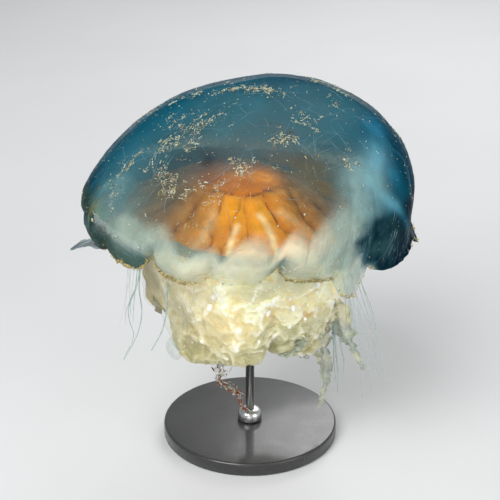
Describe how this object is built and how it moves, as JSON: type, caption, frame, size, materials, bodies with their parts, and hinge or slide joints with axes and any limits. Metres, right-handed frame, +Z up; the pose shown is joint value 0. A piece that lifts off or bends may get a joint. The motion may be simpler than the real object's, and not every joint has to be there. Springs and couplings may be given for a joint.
{
  "type": "jellyfish",
  "caption": "A young lion's mane jellyfish, life size: clear blue bell, orange stomach folds, pale lappets, cream ruffled arms and thin tentacles, on a round stand.",
  "frame": {"origin": "centre of the underside of the stand's base", "axes": "+Z up along the stand's rod; -Y is the animal's front, the side seen best, and +X its right as seen from the front"},
  "size_m": [0.1859, 0.1793, 0.2107],
  "materials": {
    "gel": "clear blue gel",
    "lappet_gel": "cloudy white gel",
    "stomach_flesh": "wet orange flesh",
    "arm_flesh": "wet cream flesh",
    "tentacle_flesh": "clear thin strand",
    "stand_lacquer": "satin black",
    "stand_steel": "brushed"
  },
  "bodies": {
    "root": {"bell_disc": "gel", "lappet_01": "lappet_gel", "lappet_02": "lappet_gel", "lappet_03": "lappet_gel", "lappet_04": "lappet_gel", "lappet_05": "lappet_gel", "lappet_06": "lappet_gel", "lappet_07": "lappet_gel", "lappet_08": "lappet_gel", "lappet_09": "lappet_gel", "lappet_10": "lappet_gel", "lappet_11": "lappet_gel", "lappet_12": "lappet_gel", "lappet_13": "lappet_gel", "lappet_14": "lappet_gel", "lappet_15": "lappet_gel", "lappet_16": "lappet_gel", "stomach": "stomach_flesh", "oral_arm_front": "arm_flesh", "oral_arm_right": "arm_flesh", "oral_arm_back": "arm_flesh", "oral_arm_left": "arm_flesh", "tentacles_01": "tentacle_flesh", "tentacles_02": "tentacle_flesh", "tentacles_03": "tentacle_flesh", "tentacles_04": "tentacle_flesh", "tentacles_05": "tentacle_flesh", "tentacles_06": "tentacle_flesh", "tentacles_07": "tentacle_flesh", "tentacles_08": "tentacle_flesh", "stand_base": "stand_lacquer", "stand_collar": "stand_steel", "stand_rod": "stand_steel"}
  },
  "joints": []
}
